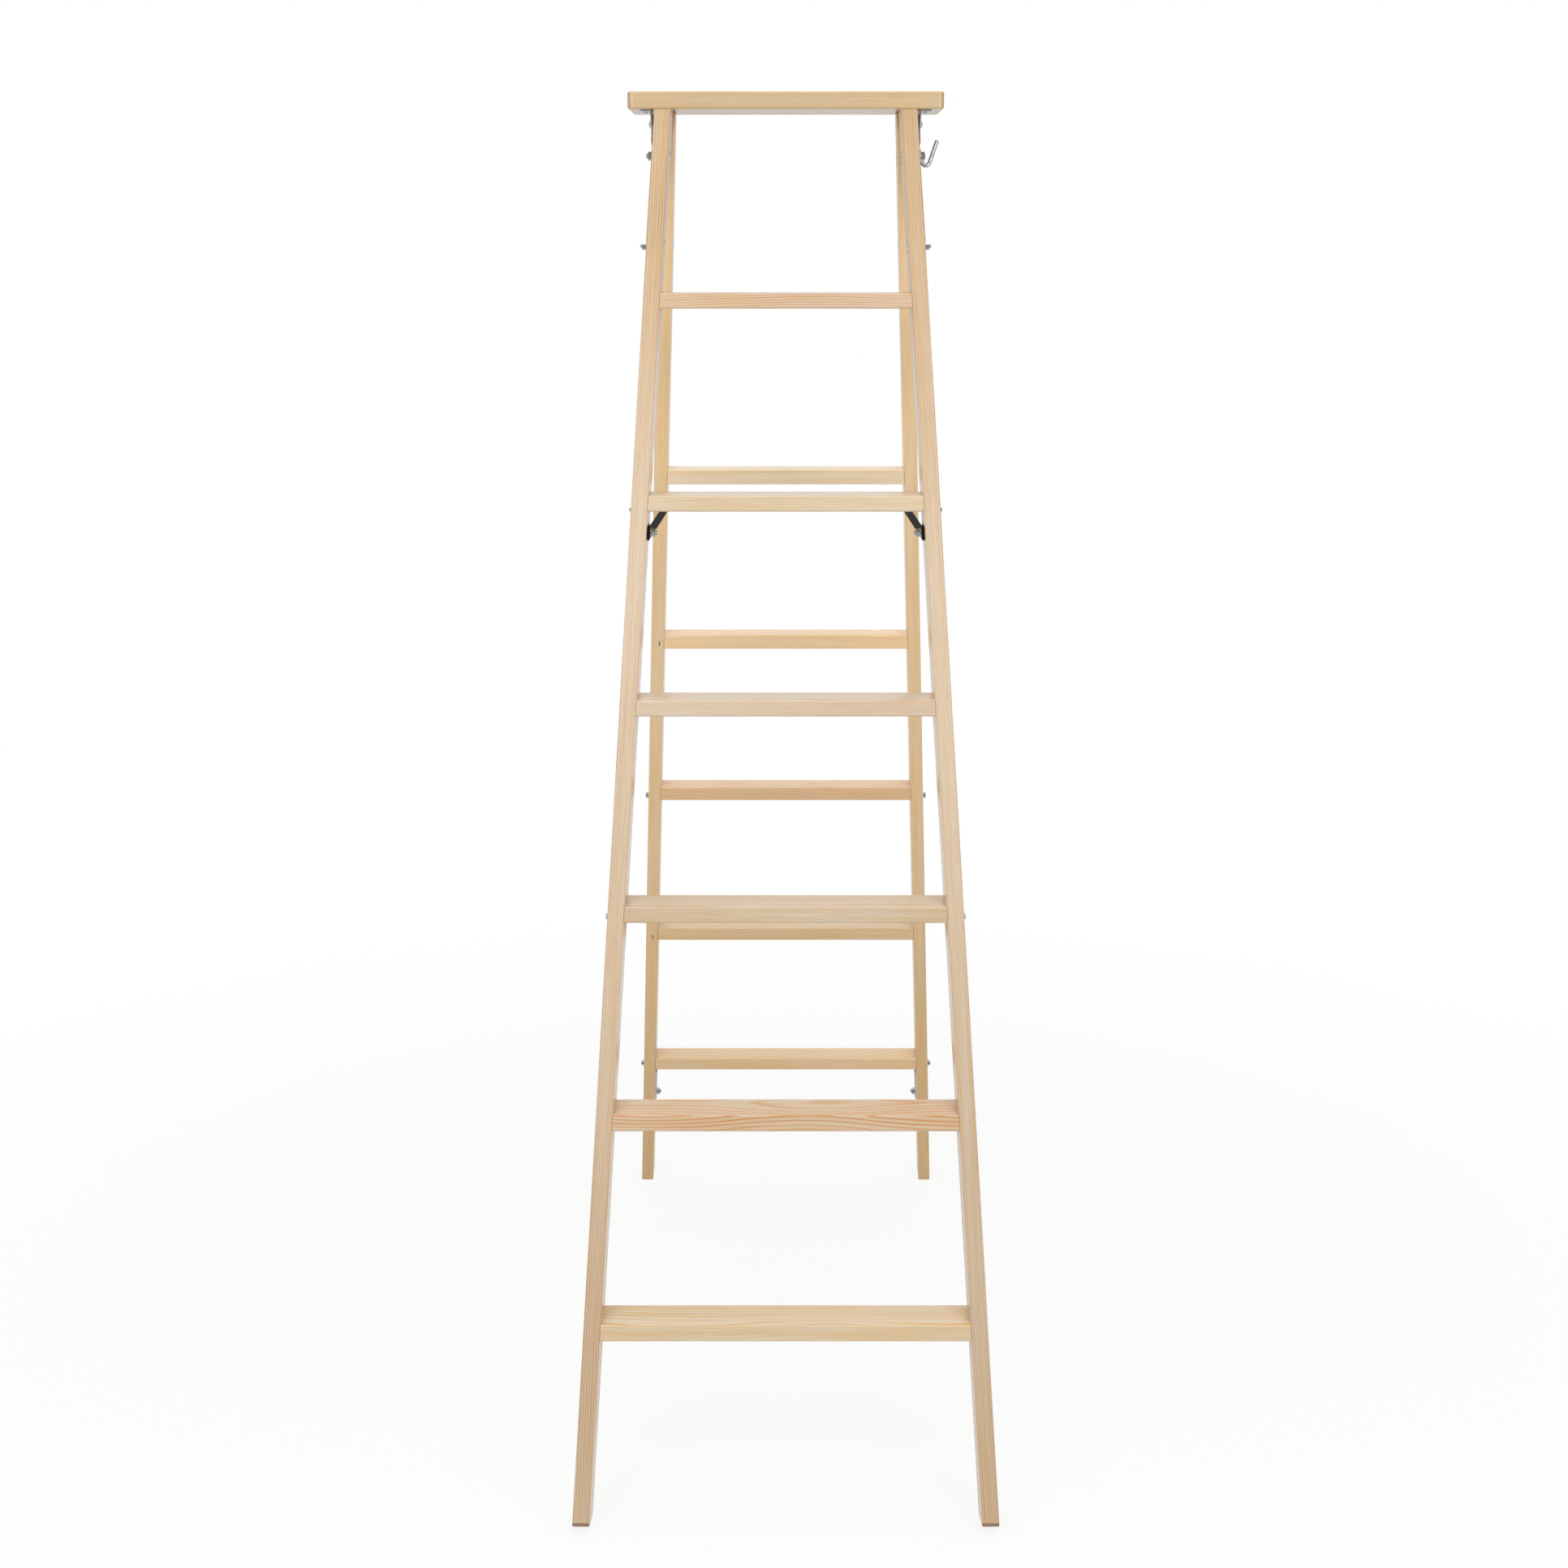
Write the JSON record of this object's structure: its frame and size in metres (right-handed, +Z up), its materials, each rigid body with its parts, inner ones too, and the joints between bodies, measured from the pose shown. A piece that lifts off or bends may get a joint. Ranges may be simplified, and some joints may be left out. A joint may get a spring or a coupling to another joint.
{
  "type": "folding step ladder",
  "caption": "Wooden folding step ladder: splayed front frame of flat treads under a platform, hinged rear frame of rungs, webbing stay straps and a bucket hook.",
  "frame": {"origin": "on the floor, in the middle of the open ladder's footprint", "axes": "+X to the right of someone facing the treads, +Y from the front frame to the rear frame, +Z up"},
  "size_m": [0.5306, 1.1465, 1.75],
  "materials": {
    "pine_front": "planed, unvarnished",
    "pine_rear": "planed, unvarnished",
    "zinc_steel": "zinc plated",
    "hinge_steel": "zinc plated",
    "webbing": "woven polyester"
  },
  "bodies": {
    "front_frame": {"bucket_hook": "zinc_steel", "front_stile_left": "pine_front", "front_stile_right": "pine_front", "hinge_bolt_front_lower_left": "zinc_steel", "hinge_bolt_front_lower_right": "zinc_steel", "hinge_bolt_front_upper_left": "zinc_steel", "hinge_bolt_front_upper_right": "zinc_steel", "hinge_nuts_front_left": "zinc_steel", "hinge_nuts_front_right": "zinc_steel", "hinge_plate_front_left": "hinge_steel", "hinge_plate_front_right": "hinge_steel", "hinge_rivet_left": "zinc_steel", "hinge_rivet_right": "zinc_steel", "strap_bolt_front_left": "zinc_steel", "strap_bolt_front_nut_left": "zinc_steel", "strap_bolt_front_nut_right": "zinc_steel", "strap_bolt_front_right": "zinc_steel", "strap_left": "webbing", "strap_right": "webbing", "tab_screws": "zinc_steel", "tie_rod_front_lower": "zinc_steel", "tie_rod_front_lower_nuts": "zinc_steel", "tie_rod_front_upper": "zinc_steel", "tie_rod_front_upper_nuts": "zinc_steel", "top_platform": "pine_front", "tread_1": "pine_front", "tread_2": "pine_front", "tread_3": "pine_front", "tread_4": "pine_front", "tread_5": "pine_front", "tread_6": "pine_front"},
    "rear_frame": {"hinge_bolt_rear_lower_left": "zinc_steel", "hinge_bolt_rear_lower_right": "zinc_steel", "hinge_bolt_rear_upper_left": "zinc_steel", "hinge_bolt_rear_upper_right": "zinc_steel", "hinge_nuts_rear_left": "zinc_steel", "hinge_nuts_rear_right": "zinc_steel", "hinge_plate_rear_left": "hinge_steel", "hinge_plate_rear_right": "hinge_steel", "keeper_bolt_left": "zinc_steel", "keeper_bolt_nut_left": "zinc_steel", "keeper_bolt_nut_right": "zinc_steel", "keeper_bolt_right": "zinc_steel", "keeper_plate_left": "zinc_steel", "keeper_plate_right": "zinc_steel", "rear_stile_left": "pine_rear", "rear_stile_right": "pine_rear", "rung_1": "pine_rear", "rung_2": "pine_rear", "rung_3": "pine_rear", "rung_4": "pine_rear", "rung_5": "pine_rear", "strap_bolt_rear_left": "zinc_steel", "strap_bolt_rear_nut_left": "zinc_steel", "strap_bolt_rear_nut_right": "zinc_steel", "strap_bolt_rear_right": "zinc_steel", "tie_rod_rear_lower": "zinc_steel", "tie_rod_rear_lower_nuts": "zinc_steel", "tie_rod_rear_upper": "zinc_steel", "tie_rod_rear_upper_nuts": "zinc_steel"}
  },
  "joints": [
    {"name": "fold", "type": "hinge", "parent": "front_frame", "child": "rear_frame", "pos_m": [0, -0.02624, 1.712], "axis": [1, 0, 0], "range_deg": [-33.5, 0], "deforming": ["strap_left", "strap_right"]}
  ]
}
